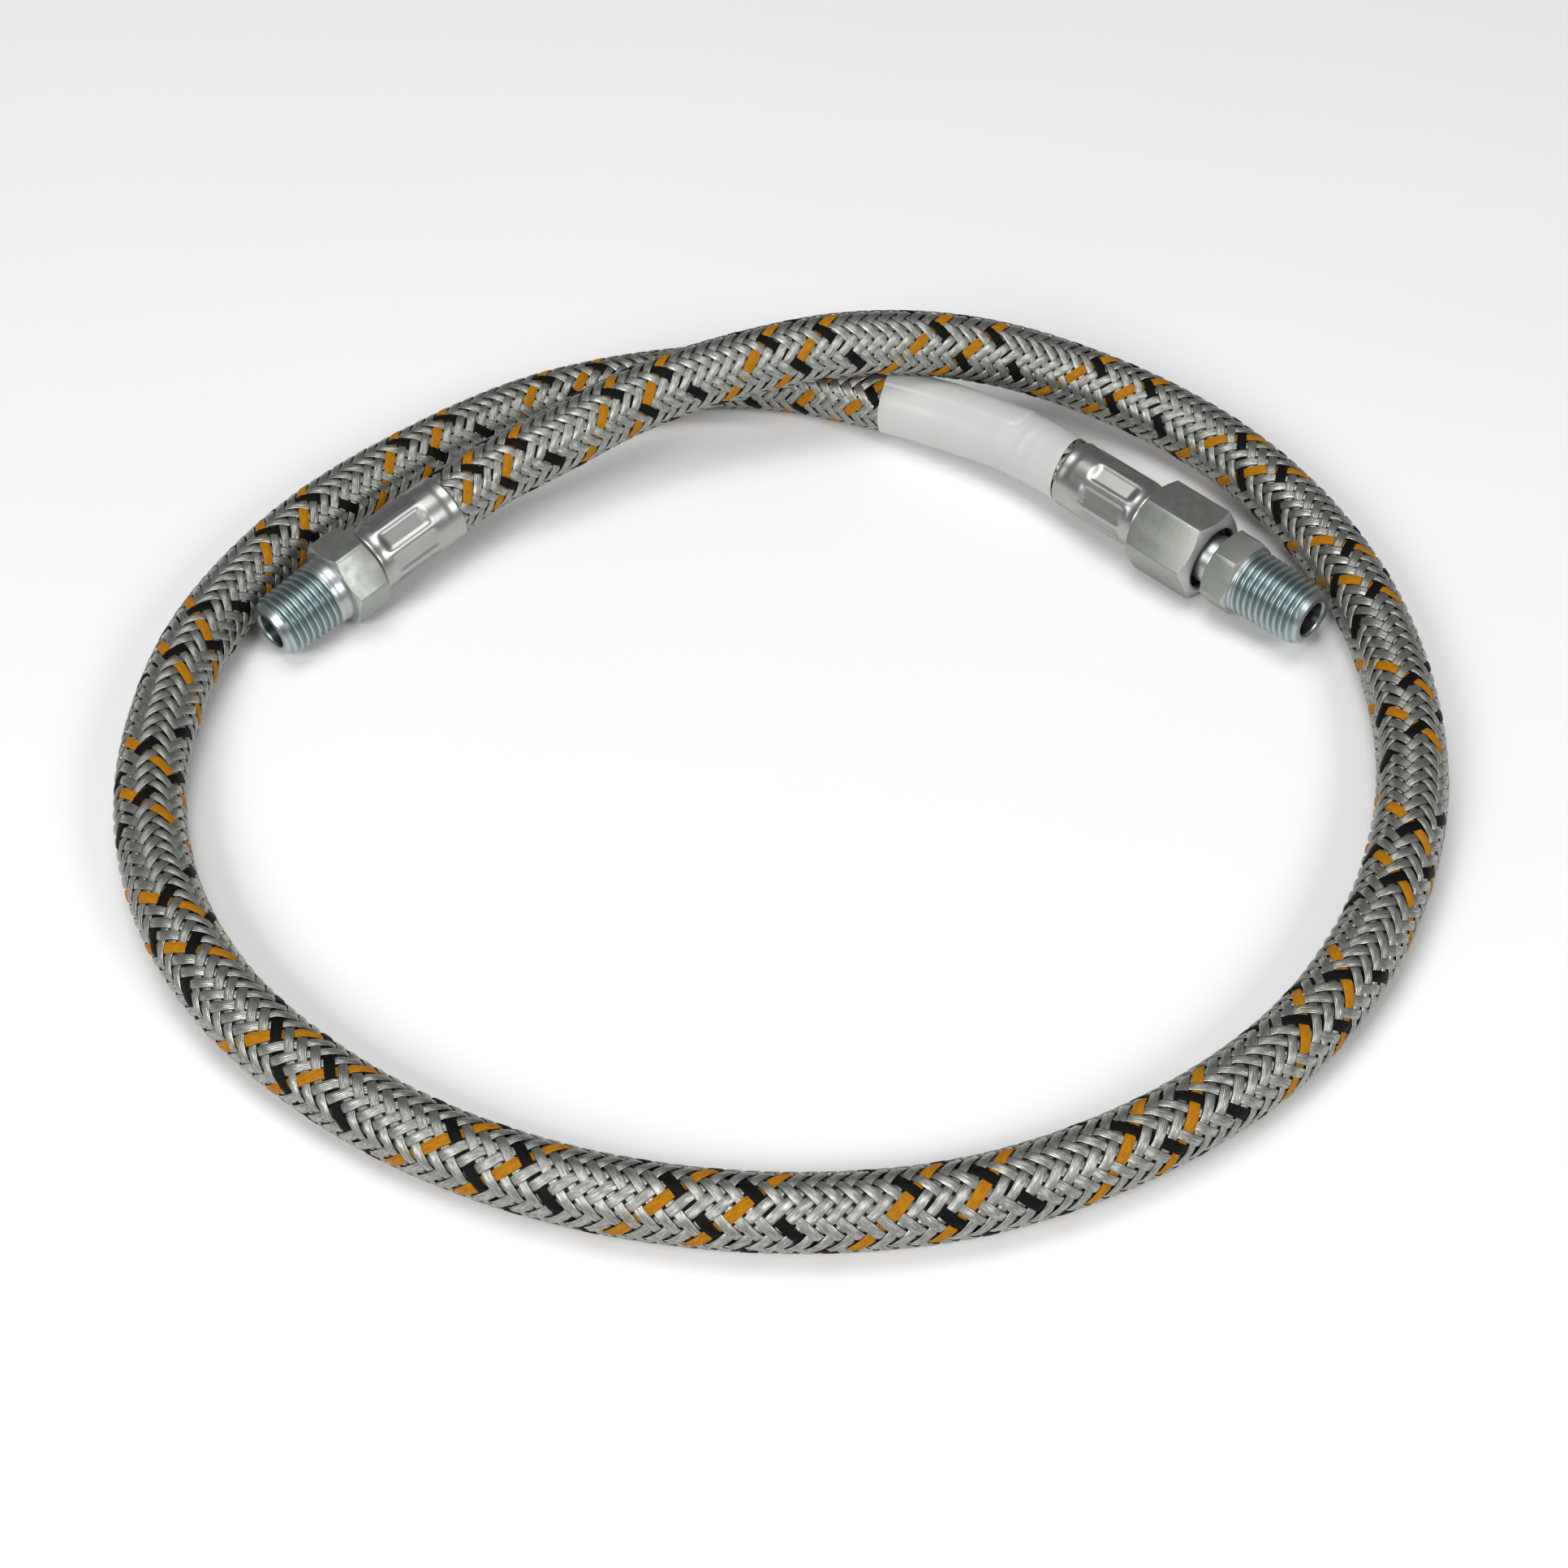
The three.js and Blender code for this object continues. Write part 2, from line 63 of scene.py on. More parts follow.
class Surface:
    """Closed grids of one piece, gathered as vertices, four sided faces and UVs."""

    def __init__(self) -> None:
        """Start with nothing gathered."""
        self.points: list[Array] = []
        self.quads: list[Array] = []
        self.uvs: list[Array] = []
        self.marks: list[Array] = []
        self.count = 0

    def add_grid(
        self,
        points: Array,
        row_uv: Array,
        wrap_rows: bool = False,
        seam: Array | None = None,
        mark: Array | None = None,
    ) -> None:
        """Add a grid whose columns close round on themselves, and turn its faces outwards.

        Args:
            points: Places of the grid's vertices, shaped (rows, columns, 3).
            row_uv: First UV coordinate of each row, one value more than the rows where they wrap.
            wrap_rows: Whether the last row joins the first one. Otherwise both ends are capped.
            seam: For each row, the row it meets after one turn, which is a later one in a screw
                thread. Otherwise each row meets itself.
            mark: A value from 0 to 2 for each vertex, kept as the attribute "root": 1 in a
                thread's root or on a turned face, and 2 deep in a bore, where the colour is painted
                dark as shade.
        """
        rows, columns = points.shape[:2]
        row_count = rows if wrap_rows else rows - 1
        row, column = np.meshgrid(np.arange(row_count), np.arange(columns), indexing="ij")
        meets = np.arange(rows) if seam is None else seam
        last = column == columns - 1
        near, far = row * columns + column, (row + 1) % rows * columns + column
        near_next = np.where(last, meets[row] * columns, near + 1)
        far_next = np.where(last, meets[(row + 1) % rows] * columns, far + 1)
        quads = np.stack([near, near_next, far_next, far], axis=-1).reshape(-1, 4)
        u = np.stack([row_uv[row], row_uv[row], row_uv[row + 1], row_uv[row + 1]], axis=-1)
        v = np.stack([column, column + 1, column + 1, column], axis=-1) / columns
        uvs = np.stack([u, v], axis=-1).reshape(-1, 4, 2)
        if not wrap_rows:
            quads, uvs = self._with_caps(quads, uvs, rows, columns)
        flat = points.reshape(-1, 3)
        if self._volume(flat, quads) < 0:
            quads, uvs = quads[:, ::-1], uvs[:, ::-1]
        self.points.append(flat)
        self.quads.append(quads + self.count)
        self.uvs.append(uvs)
        self.marks.append(np.zeros(len(flat)) if mark is None else mark.reshape(-1))
        self.count += len(flat)

    @staticmethod
    def _with_caps(quads: Array, uvs: Array, rows: int, columns: int) -> tuple[Array, Array]:
        """Close both ends of a tube of an even number of columns with ladders of quads.

        Args:
            quads: The tube's faces.
            uvs: The faces' UVs.
            rows: Number of rows in the tube.
            columns: Number of columns, an even number.

        Returns:
            The faces and UVs with the caps added.
        """
        rung = np.arange(columns // 2 - 1)
        ladder = np.stack([rung, rung + 1, columns - 2 - rung, columns - 1 - rung], axis=-1)
        first, last = ladder[:, ::-1], ladder + (rows - 1) * columns
        flat_uv = np.full((2 * len(rung), 4, 2), 0.5)
        return np.concatenate([quads, first, last]), np.concatenate([uvs, flat_uv])

    @staticmethod
    def _volume(points: Array, quads: Array) -> float:
        """Signed volume: the sum of the tetrahedra from the middle to each half face."""
        a, b, c, d = (points[quads[:, i]] - points.mean(axis=0) for i in range(4))
        return float((np.cross(a, b) * c).sum() + (np.cross(a, c) * d).sum())

    def build(
        self, name: str, material: Material, sharp: float = 32.0, weld: bool = False
    ) -> Piece:
        """Make the gathered grids one object at the origin.

        Args:
            name: The piece's name.
            material: Its finish.
            sharp: Edges that turn by more degrees than this are shaded as sharp.
            weld: Whether to merge vertices that stand in one place.

        Returns:
            The finished object.
        """
        points, quads = np.concatenate(self.points), np.concatenate(self.quads)
        uvs, marks = np.concatenate(self.uvs), np.concatenate(self.marks)
        mesh = bpy.data.meshes.new(name)
        mesh.vertices.add(len(points))
        mesh.vertices.foreach_set("co", points.astype(np.float32).ravel())
        mesh.loops.add(quads.size)
        mesh.loops.foreach_set("vertex_index", quads.astype(np.int32).ravel())
        mesh.polygons.add(len(quads))
        mesh.polygons.foreach_set("loop_start", np.arange(0, quads.size, 4, dtype=np.int32))
        mesh.polygons.foreach_set("loop_total", np.full(len(quads), 4, dtype=np.int32))
        layer = mesh.uv_layers.new(name="UVMap")
        layer.data.foreach_set("uv", uvs.astype(np.float32).ravel())
        root = mesh.attributes.new("root", "FLOAT", "POINT")
        root.data.foreach_set("value", marks.astype(np.float32))
        mesh.update(calc_edges=True)
        if weld:
            work = bmesh.new()
            work.from_mesh(mesh)
            bmesh.ops.remove_doubles(work, verts=work.verts, dist=1e-7)
            work.to_mesh(mesh)
            work.free()
        mesh.polygons.foreach_set("use_smooth", np.ones(len(mesh.polygons), dtype=bool))
        mesh.set_sharp_from_angle(angle=math.radians(sharp))
        mesh.materials.append(material)
        piece = bpy.data.objects.new(name, mesh)
        bpy.context.scene.collection.objects.link(piece)
        LOG.info("%s: %d faces", name, len(quads))
        return piece


def smooth_step(low: float, high: float, value: Array) -> Array:
    """Rise from 0 at low to 1 at high along the curve 3t squared minus 2t cubed."""
    t = np.clip((value - low) / (high - low), 0.0, 1.0)
    return t * t * (3.0 - 2.0 * t)


def softened(profile: Array, size: float) -> Array:
    """Round each corner of a closed profile.

    Each corner becomes three points: one a little way along each side, and between them the
    point of the quadratic curve that the corner pulls.

    Args:
        profile: Corners as (radius, height), shaped (corners, columns, 2).
        size: How far from the corner the rounding starts, in metres.

    Returns:
        The rounded profile, with three times as many rows.
    """
    before, after = np.roll(profile, 1, axis=0) - profile, np.roll(profile, -1, axis=0) - profile
    reach_before = np.linalg.norm(before, axis=-1, keepdims=True) + 1e-12
    reach_after = np.linalg.norm(after, axis=-1, keepdims=True) + 1e-12
    start = profile + before * np.minimum(size / reach_before, 0.4)
    end = profile + after * np.minimum(size / reach_after, 0.4)
    middle = 0.25 * start + 0.5 * profile + 0.25 * end
    return np.stack([start, middle, end], axis=1).reshape(-1, *profile.shape[1:])


@dataclass(frozen=True)
class HoseEnd:
    """Where the hose enters a ferrule, and which way the fitting points from there."""

    exit: Triple
    heading: float
    slope: float

    def outward(self) -> Array:
        """Unit vector out of the hose along the fitting's axis."""
        heading, slope = math.radians(self.heading), math.radians(self.slope)
        level = math.cos(slope)
        return np.array([math.cos(heading) * level, math.sin(heading) * level, math.sin(slope)])

    def side(self) -> Array:
        """Level unit vector square to the axis."""
        across = np.cross(self.outward(), [0.0, 0.0, 1.0])
        return across / np.linalg.norm(across)

    def point(self, along: float) -> Array:
        """Point on the axis at a distance outwards from the ferrule's lip."""
        return np.array(self.exit) + along * self.outward()

    def revolve(self, profile: Array, angles: Array) -> Array:
        """Carry a profile round the axis.

        A vertex stands at its height along the axis, and at its radius times the sine of its
        angle to the side and times the cosine of its angle upwards.

        Args:
            profile: Rows as (radius, height), shaped (rows, columns or 1, 2).
            angles: Angle of each column from the upward side, in radians.

        Returns:
            Places in metres, shaped (rows, columns, 3).
        """
        radius, height = np.broadcast_arrays(profile[..., 0], profile[..., 1])
        radius = np.broadcast_to(radius, (len(profile), len(angles)))[..., None]
        height = np.broadcast_to(height, (len(profile), len(angles)))[..., None]
        side, outward = self.side(), self.outward()
        up = np.cross(side, outward)
        round_way = np.sin(angles)[:, None] * side + np.cos(angles)[:, None] * up
        return np.array(self.exit) + height * outward + radius * round_way


FIXED_END = HoseEnd(exit=(-0.0665, 0.0582, 0.0118), heading=223.6, slope=-6.5)
SWIVEL_END = HoseEnd(exit=(0.0578, 0.0710, 0.0090), heading=-44.2, slope=0.0)

ROUTE = (
    (-0.0455, 0.0730, 0.0154), (-0.0310, 0.0820, 0.0179), (-0.0130, 0.0892, 0.0202),
    (0.0130, 0.0954, 0.0219), (0.0380, 0.0988, 0.0180), (0.0620, 0.0966, 0.0114),
    (0.0846, 0.0844, 0.0075), (0.1000, 0.0658, 0.0066), (0.1107, 0.0415, 0.0065),
    (0.1152, 0.0160, 0.0065), (0.1142, -0.0112, 0.0065), (0.1066, -0.0367, 0.0065),
    (0.0947, -0.0580, 0.0065), (0.0800, -0.0742, 0.0065), (0.0575, -0.0896, 0.0065),
    (0.0300, -0.1002, 0.0065), (0.0000, -0.1031, 0.0065), (-0.0310, -0.0990, 0.0065),
    (-0.0585, -0.0886, 0.0065), (-0.0811, -0.0735, 0.0065), (-0.0968, -0.0575, 0.0065),
    (-0.1089, -0.0367, 0.0065), (-0.1151, -0.0112, 0.0065), (-0.1138, 0.0156, 0.0065),
    (-0.1088, 0.0332, 0.0065), (-0.0942, 0.0585, 0.0065), (-0.0746, 0.0778, 0.0065),
    (-0.0510, 0.0940, 0.0065), (-0.0230, 0.1026, 0.0065), (-0.0030, 0.1030, 0.0065),
    (0.0165, 0.0970, 0.0072), (0.0365, 0.0872, 0.0083),
)


@dataclass
class HoseLine:
    """Centre line of the hose, from inside one ferrule to inside the other."""

    start: HoseEnd
    finish: HoseEnd
    route: tuple[Triple, ...]
    inside: float = 4.0 * MM
    lead: float = 10.0 * MM
    step: float = 0.5 * MM
    softness: float = 4.0 * MM
    places: Array = field(init=False)
    length: float = field(init=False)

    def __post_init__(self) -> None:
        """Work out closely spaced points of the line, and their directions."""
        knots = np.array([
            self.start.point(self.inside),
            self.start.point(-0.3 * MM),
            self.start.point(-self.lead),
            *self.route,
            self.finish.point(-self.lead),
            self.finish.point(-0.3 * MM),
            self.finish.point(self.inside),
        ])
        self.places = self._softened(self._spaced(self._through(knots)))
        steps = np.linalg.norm(np.diff(self.places, axis=0), axis=1)
        self.distances = np.concatenate([[0.0], np.cumsum(steps)])
        self.length = float(self.distances[-1])
        ahead = np.gradient(self.places, axis=0)
        self.ahead = ahead / np.linalg.norm(ahead, axis=1, keepdims=True)

    @staticmethod
    def _through(knots: Array, samples: int = 60) -> Array:
        """Centripetal Catmull-Rom curve through the knots.

        Each stretch is the cubic Hermite curve between two knots, whose end slopes weigh the
        neighbouring chords by the square roots of their lengths.

        Args:
            knots: Points the curve passes through, shaped (knots, 3).
            samples: Points worked out for each stretch.

        Returns:
            Points on the curve, shaped (points, 3).
        """
        padded = np.concatenate([[2 * knots[0] - knots[1]], knots, [2 * knots[-1] - knots[-2]]])
        gap = np.sqrt(np.linalg.norm(np.diff(padded, axis=0), axis=1))[:, None]
        p0, p1, p2, p3 = padded[:-3], padded[1:-2], padded[2:-1], padded[3:]
        g0, g1, g2 = gap[:-2], gap[1:-1], gap[2:]
        slope1 = ((p1 - p0) / g0 - (p2 - p0) / (g0 + g1) + (p2 - p1) / g1) * g1
        slope2 = ((p2 - p1) / g1 - (p3 - p1) / (g1 + g2) + (p3 - p2) / g2) * g1
        t = np.linspace(0.0, 1.0, samples, endpoint=False)[None, :, None]
        p1, p2, slope1, slope2 = (x[:, None, :] for x in (p1, p2, slope1, slope2))
        curve = (
            (2 * t**3 - 3 * t**2 + 1) * p1
            + (t**3 - 2 * t**2 + t) * slope1
            + (3 * t**2 - 2 * t**3) * p2
            + (t**3 - t**2) * slope2
        )
        return np.concatenate([curve.reshape(-1, 3), knots[-1:]])

    def _spaced(self, line: Array) -> Array:
        """The same line with its points evenly spaced."""
        steps = np.linalg.norm(np.diff(line, axis=0), axis=1)
        along = np.concatenate([[0.0], np.cumsum(steps)])
        even = np.linspace(0.0, along[-1], int(along[-1] / self.step) + 1)
        return np.stack([np.interp(even, along, line[:, axis]) for axis in range(3)], axis=1)

    def _softened(self, line: Array) -> Array:
        """The line averaged with a bell curve, its two ends mirrored through their end points."""
        reach = int(3 * self.softness / self.step)
        weight = np.exp(-0.5 * (np.arange(-reach, reach + 1) * self.step / self.softness) ** 2)
        weight /= weight.sum()
        head = 2 * line[0] - line[reach:0:-1]
        tail = 2 * line[-1] - line[-2 : -reach - 2 : -1]
        long = np.concatenate([head, line, tail])
        return np.stack([np.convolve(long[:, axis], weight, "valid") for axis in range(3)], axis=1)

    def around(self, along: Array, angle: Array, radius: Array) -> Array:
        """Points round the line.

        A point stands at its radius from the line, times the cosine of its angle upwards and
        times the sine of its angle to the right of the way ahead.

        Args:
            along: Distances along the line, in metres.
            angle: Angles from the upward side, in radians.
            radius: Distances from the line, in metres.

        Returns:
            Places in metres, shaped as the arguments with a last axis of 3.
        """
        along, angle, radius = np.broadcast_arrays(along, angle, radius)
        middle, ahead = (
            np.stack([np.interp(along, self.distances, known[:, i]) for i in range(3)], axis=-1)
            for known in (self.places, self.ahead)
        )
        right = np.cross(ahead, [0.0, 0.0, 1.0])
        right /= np.linalg.norm(right, axis=-1, keepdims=True)
        up = np.cross(right, ahead)
        round_way = np.cos(angle)[..., None] * up + np.sin(angle)[..., None] * right
        return middle + radius[..., None] * round_way


# Finishes


class Bench:
    """A material's node tree, with short ways to add and join nodes."""

    def __init__(self, name: str) -> None:
        """Start a material with only its shader and output."""
        self.material = bpy.data.materials.new(name)
        self.material.use_nodes = True
        self.tree = self.material.node_tree
        self.shader = self.tree.nodes["Principled BSDF"]

    def add(self, kind: str, **settings: object) -> bpy.types.Node:
        """Add a node of a kind, with its settings."""
        node = self.tree.nodes.new(kind)
        for key, value in settings.items():
            setattr(node, key, value)
        return node

    def join(self, source: Socket, target: Socket) -> None:
        """Link one socket to another."""
        self.tree.links.new(source, target)

    def feed(self, source: Socket, name: str) -> None:
        """Link a socket to one of the shader's inputs."""
        self.join(source, self.shader.inputs[name])

    def place(self, stretch: Triple, surface: bool) -> Socket:
        """Coordinates for a pattern.

        Args:
            stretch: Scale along each coordinate.
            surface: Whether to follow the piece's UV map rather than its place in space.

        Returns:
            The socket that gives the scaled coordinates.
        """
        source = self.add("ShaderNodeTexCoord")
        mapping = self.add("ShaderNodeMapping")
        mapping.inputs["Scale"].default_value = stretch
        self.join(source.outputs["UV" if surface else "Object"], mapping.inputs["Vector"])
        return mapping.outputs["Vector"]

    def noise(self, place: Socket, scale: float, detail: float = 3.0) -> Socket:
        """Soft noise at a place, from 0 to 1."""
        node = self.add("ShaderNodeTexNoise")
        node.inputs["Scale"].default_value = scale
        node.inputs["Detail"].default_value = detail
        self.join(place, node.inputs["Vector"])
        return node.outputs["Fac"]

    def spread(
        self, value: Socket, low: float, high: float, start: float = 0.3, end: float = 0.7
    ) -> Socket:
        """Map a value that runs from start to end onto low to high, and hold it there."""
        node = self.add("ShaderNodeMapRange")
        numbers = {"From Min": start, "From Max": end, "To Min": low, "To Max": high}
        for name, number in numbers.items():
            node.inputs[name].default_value = number
        self.join(value, node.inputs["Value"])
        return node.outputs["Result"]

    def blend(
        self,
        factor: Socket,
        first: Triple | Socket,
        second: Triple,
    ) -> Socket:
        """Mix two colours, the first of which may be another node's."""
        node = self.add("ShaderNodeMix", data_type="RGBA")
        self.join(factor, node.inputs["Factor"])
        if isinstance(first, tuple):
            node.inputs["A"].default_value = (*first, 1.0)
        else:
            self.join(first, node.inputs["A"])
        node.inputs["B"].default_value = (*second, 1.0)
        return node.outputs["Result"]

    def math(
        self, operation: str, first: Socket, second: Socket | float = 0.0
    ) -> Socket:
        """One sum on a value and a second value or number."""
        node = self.add("ShaderNodeMath", operation=operation)
        self.join(first, node.inputs[0])
        if isinstance(second, float):
            node.inputs[1].default_value = second
        else:
            self.join(second, node.inputs[1])
        return node.outputs["Value"]

    def bump(self, height: Socket, distance: float, strength: float) -> None:
        """Raise the shader's surface by a height."""
        node = self.add("ShaderNodeBump")
        node.inputs["Strength"].default_value = strength
        node.inputs["Distance"].default_value = distance
        self.join(height, node.inputs["Height"])
        self.feed(node.outputs["Normal"], "Normal")


class Grain(Enum):
    """How the surface of a steel piece was left."""

    TURNED = "turned"
    MILLED = "milled"
    PRESSED = "pressed"


@dataclass(frozen=True)
class PlatedSteel:
    """Zinc plated steel with a faint cloudy tint, marks of its making, and painted shade in bores.
    """

    name: str
    colour: Triple
    cloud: Triple
    roughness: float
    roughness_spread: float
    grain: Grain
    root_colour: Triple | None = None
    # Painted shade: the dark colour given to vertices marked 2, deep in a bore.
    bore_shade_colour: Triple = (0.05, 0.055, 0.055)

    def make(self) -> Material:
        """Build the material."""
        bench = Bench(self.name)
        space = bench.place((1.0, 1.0, 1.0), surface=False)
        clouds = bench.noise(space, 260.0, 4.0)
        colour = bench.blend(bench.spread(clouds, 0.0, 1.0), self.colour, self.cloud)
        if self.root_colour is not None:
            root = bench.add("ShaderNodeAttribute", attribute_name="root")
            colour = bench.blend(root.outputs["Fac"], colour, self.root_colour)
            # Painted shade: vertices marked 2, deep in a bore, are blended to the dark bore colour.
            deep = bench.math("SUBTRACT", root.outputs["Fac"], 1.0)
            colour = bench.blend(deep, colour, self.bore_shade_colour)
        bench.feed(colour, "Base Color")
        bench.shader.inputs["Metallic"].default_value = 1.0
        smears = bench.noise(space, 520.0, 5.0)
        low, high = self.roughness - self.roughness_spread, self.roughness + self.roughness_spread
        bench.feed(bench.spread(smears, low, high), "Roughness")
        self._mark(bench, space)
        return bench.material

    def _mark(self, bench: Bench, space: Socket) -> None:
        """Add the fine relief that the making left: rings, specks or soft dents."""
        if self.grain is Grain.TURNED:
            rings = bench.noise(bench.place((5.0, 1.5, 1.0), surface=True), 6.0, 4.0)
            bench.bump(rings, 0.00003, 0.2)
        elif self.grain is Grain.MILLED:
            bench.bump(bench.noise(space, 2600.0, 3.0), 0.00005, 0.30)
        else:
            bench.bump(bench.noise(space, 300.0, 1.0), 0.00010, 0.12)


@dataclass(frozen=True)
class StrandFinish:
    """A flat strand of fine wires or threads that lie side by side."""

    name: str
    colour: Triple
    shade: Triple
    metallic: float
    roughness: float
    gloss: float = 0.5
    wires: float = 6.0
    relief: float = 0.00007

    def make(self) -> Material:
        """Build the material: each wire has its own slowly changing tone and a round back."""
        bench = Bench(self.name)
        uv = bench.add("ShaderNodeTexCoord")
        parts = bench.add("ShaderNodeSeparateXYZ")
        bench.join(uv.outputs["UV"], parts.inputs["Vector"])
        across = bench.math("MULTIPLY", parts.outputs["Y"], self.wires * 1.2)
        wire = bench.math("FLOOR", across)
        lane = bench.add("ShaderNodeCombineXYZ")
        bench.join(parts.outputs["X"], lane.inputs["X"])
        bench.join(bench.math("MULTIPLY", wire, 3.7), lane.inputs["Y"])
        tone = bench.noise(lane.outputs["Vector"], 2.2, 2.0)
        colour = bench.blend(bench.spread(tone, 0.0, 1.0, 0.35, 0.65), self.colour, self.shade)
        bench.feed(colour, "Base Color")
        bench.shader.inputs["Metallic"].default_value = self.metallic
        rough = bench.spread(tone, self.roughness - 0.06, self.roughness + 0.08)
        bench.feed(rough, "Roughness")
        back = bench.math("SINE", bench.math("MULTIPLY", bench.math("FRACT", across), math.pi))
        bench.bump(back, self.relief, 0.55)
        bench.shader.inputs["Specular IOR Level"].default_value = self.gloss
        return bench.material


@dataclass(frozen=True)
class SoftFinish:
    """Rubber, film or floor: one colour that varies a little, with a faint relief."""

    name: str
    colour: Triple
    shade: Triple
    roughness: float
    scale: float
    relief: float

    def make(self) -> Material:
        """Build the material."""
        bench = Bench(self.name)
        space = bench.place((1.0, 1.0, 1.0), surface=False)
        noise = bench.noise(space, self.scale, 3.0)
        colour = bench.blend(bench.spread(noise, 0.0, 1.0), self.colour, self.shade)
        bench.feed(colour, "Base Color")
        rough = bench.spread(noise, self.roughness - 0.04, self.roughness + 0.04)
        bench.feed(rough, "Roughness")
        bench.bump(noise, self.relief, 0.3)
        return bench.material


TURNED_ZINC = PlatedSteel(
    "turned_zinc", (0.46, 0.48, 0.47), (0.43, 0.46, 0.46), 0.34, 0.02, Grain.TURNED,
    root_colour=(0.24, 0.35, 0.36),
)
HEX_ZINC = PlatedSteel(
    "hex_zinc", (0.35, 0.375, 0.355), (0.35, 0.355, 0.31), 0.47, 0.05, Grain.MILLED,
    root_colour=(0.50, 0.51, 0.50),
)
FERRULE_ZINC = PlatedSteel(
    "ferrule_zinc", (0.42, 0.435, 0.425), (0.39, 0.39, 0.355), 0.34, 0.03, Grain.PRESSED
)
SILVER_STRAND = StrandFinish(
    "silver_strand", (0.42, 0.425, 0.385), (0.24, 0.24, 0.22), 0.95, 0.38
)
ORANGE_STRAND = StrandFinish(
    "orange_strand", (0.42, 0.170, 0.002), (0.32, 0.12, 0.001), 0.0, 0.55, gloss=0.12
)
BLACK_STRAND = StrandFinish(
    "black_strand", (0.004, 0.004, 0.004), (0.002, 0.002, 0.002), 0.0, 0.55, gloss=0.10
)
BLACK_RUBBER = SoftFinish(
    "black_rubber", (0.006, 0.006, 0.006), (0.01, 0.01, 0.01), 0.8, 900.0, 0.00002
)
# The label is a white film; its grey colour is painted shade.
SHADED_LABEL_FILM = SoftFinish(
    "label_film", (0.52, 0.535, 0.51), (0.48, 0.495, 0.47), 0.38, 90.0, 0.00008
)
PALE_FLOOR = SoftFinish("pale_floor", (0.90, 0.90, 0.90), (0.88, 0.88, 0.88), 0.8, 6.0, 0.00001)


# The hose


class Turn(Enum):
    """Which way a strand winds round the hose on its way along."""

    RIGHT = 1
    LEFT = -1


@dataclass
class Core:
    """Rubber tube inside the braid, black between the strands."""

    line: HoseLine
    radius: float = 5.78 * MM
    crimped_radius: float = 5.3 * MM
    bore: float = 3.9 * MM
    columns: int = 32

    def build(self) -> Piece:
        """Make the tube: outer rows one way, then bore rows back, closed into a ring."""
        outward = np.linspace(0.0, self.line.length, 420)
        lip = self.line.inside
        grip = smooth_step(lip * 0.6, lip * 1.3, outward) * smooth_step(
            lip * 0.6, lip * 1.3, self.line.length - outward
        )
        outer = self.crimped_radius + (self.radius - self.crimped_radius) * grip
        along = np.concatenate([outward, outward[::-1]])
        radius = np.concatenate([outer, np.full_like(outward, self.bore)])
        angle = np.linspace(0.0, 2 * np.pi, self.columns, endpoint=False)
        surface = Surface()
        grid = self.line.around(along[:, None], angle[None, :], radius[:, None])
        surface.add_grid(grid, np.linspace(0.0, 1.0, len(along) + 1), wrap_rows=True)
        return surface.build("rubber_core", BLACK_RUBBER.make())


